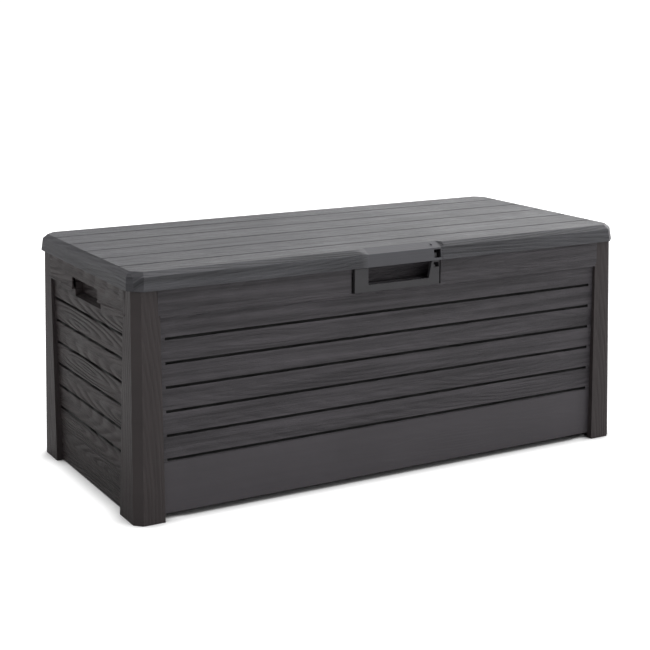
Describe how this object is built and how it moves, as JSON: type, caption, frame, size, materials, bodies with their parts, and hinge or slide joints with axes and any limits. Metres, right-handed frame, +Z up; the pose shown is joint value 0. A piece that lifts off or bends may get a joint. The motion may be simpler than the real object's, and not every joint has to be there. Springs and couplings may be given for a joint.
{
  "type": "deck storage box",
  "caption": "Large outdoor storage box of slatted resin panels with a planked, hinged lid on gas struts, a front finger pull and a hand hole in each end.",
  "frame": {"origin": "middle of the box's footprint, on the ground plane that the corner feet stand on", "axes": "+X along the box's length to the right seen from the front, -Y out of the front with the pull, +Z up"},
  "size_m": [1.45, 0.67, 0.609],
  "materials": {
    "body_resin": "matt anthracite resin with an embossed oak grain",
    "lid_resin": "matt grey-anthracite resin with an embossed oak grain",
    "pull_resin": "smooth satin resin",
    "zinc_steel": "zinc plated steel",
    "black_paint": "gloss black paint",
    "chrome_rod": "ground and hard-chromed",
    "black_nylon": "moulded nylon"
  },
  "bodies": {
    "box": {"floor_panel": "body_resin", "front_panel": "body_resin", "rear_panel": "body_resin", "left_end_panel": "body_resin", "right_end_panel": "body_resin", "front_pull": "pull_resin", "pull_screw_left": "zinc_steel", "pull_screw_right": "zinc_steel", "hinge_leaf_left": "zinc_steel", "hinge_pin_left": "zinc_steel", "hinge_leaf_screw_left_1": "zinc_steel", "hinge_leaf_screw_left_2": "zinc_steel", "hinge_leaf_middle": "zinc_steel", "hinge_pin_middle": "zinc_steel", "hinge_leaf_screw_middle_1": "zinc_steel", "hinge_leaf_screw_middle_2": "zinc_steel", "hinge_leaf_right": "zinc_steel", "hinge_pin_right": "zinc_steel", "hinge_leaf_screw_right_1": "zinc_steel", "hinge_leaf_screw_right_2": "zinc_steel", "strut_foot_bracket_left": "zinc_steel", "strut_foot_screw_left_1": "zinc_steel", "strut_foot_screw_left_2": "zinc_steel", "strut_foot_bracket_right": "zinc_steel", "strut_foot_screw_right_1": "zinc_steel", "strut_foot_screw_right_2": "zinc_steel"},
    "lid": {"lid": "lid_resin", "hinge_arm_left": "zinc_steel", "hinge_arm_screw_left_1": "zinc_steel", "hinge_arm_screw_left_2": "zinc_steel", "hinge_arm_middle": "zinc_steel", "hinge_arm_screw_middle_1": "zinc_steel", "hinge_arm_screw_middle_2": "zinc_steel", "hinge_arm_right": "zinc_steel", "hinge_arm_screw_right_1": "zinc_steel", "hinge_arm_screw_right_2": "zinc_steel", "strut_head_bracket_left": "zinc_steel", "strut_head_screw_left_1": "zinc_steel", "strut_head_screw_left_2": "zinc_steel", "strut_head_bracket_right": "zinc_steel", "strut_head_screw_right_1": "zinc_steel", "strut_head_screw_right_2": "zinc_steel"},
    "left_strut_tube": {"strut_tube_left": "black_paint", "strut_foot_eye_left": "black_nylon"},
    "left_strut_rod": {"strut_rod_left": "chrome_rod", "strut_head_eye_left": "black_nylon"},
    "right_strut_tube": {"strut_tube_right": "black_paint", "strut_foot_eye_right": "black_nylon"},
    "right_strut_rod": {"strut_rod_right": "chrome_rod", "strut_head_eye_right": "black_nylon"}
  },
  "joints": [
    {"name": "lid_hinge", "type": "hinge", "parent": "box", "child": "lid", "pos_m": [0, 0.33, 0.566], "axis": [-1, 0, 0], "range_deg": [0, 95]},
    {"name": "left_strut_pivot", "type": "hinge", "parent": "box", "child": "left_strut_tube", "pos_m": [-0.67, 0.06, 0.4], "axis": [-1, 0, 0], "range_deg": [0, 2.07]},
    {"name": "left_strut_slide", "type": "slide", "parent": "left_strut_tube", "child": "left_strut_rod", "axis": [0, 0.7355, 0.6775], "range_m": [0, 0.1182]},
    {"name": "right_strut_pivot", "type": "hinge", "parent": "box", "child": "right_strut_tube", "pos_m": [0.67, 0.06, 0.4], "axis": [-1, 0, 0], "range_deg": [0, 2.07]},
    {"name": "right_strut_slide", "type": "slide", "parent": "right_strut_tube", "child": "right_strut_rod", "axis": [0, 0.7355, 0.6775], "range_m": [0, 0.1182]}
  ],
  "couplings": [
    {"joint": "left_strut_pivot", "follows": "lid_hinge", "ratio": 0.021748},
    {"joint": "left_strut_slide", "follows": "lid_hinge", "m_per_rad": 0.071273},
    {"joint": "right_strut_pivot", "follows": "lid_hinge", "ratio": 0.021748},
    {"joint": "right_strut_slide", "follows": "lid_hinge", "m_per_rad": 0.071273}
  ]
}
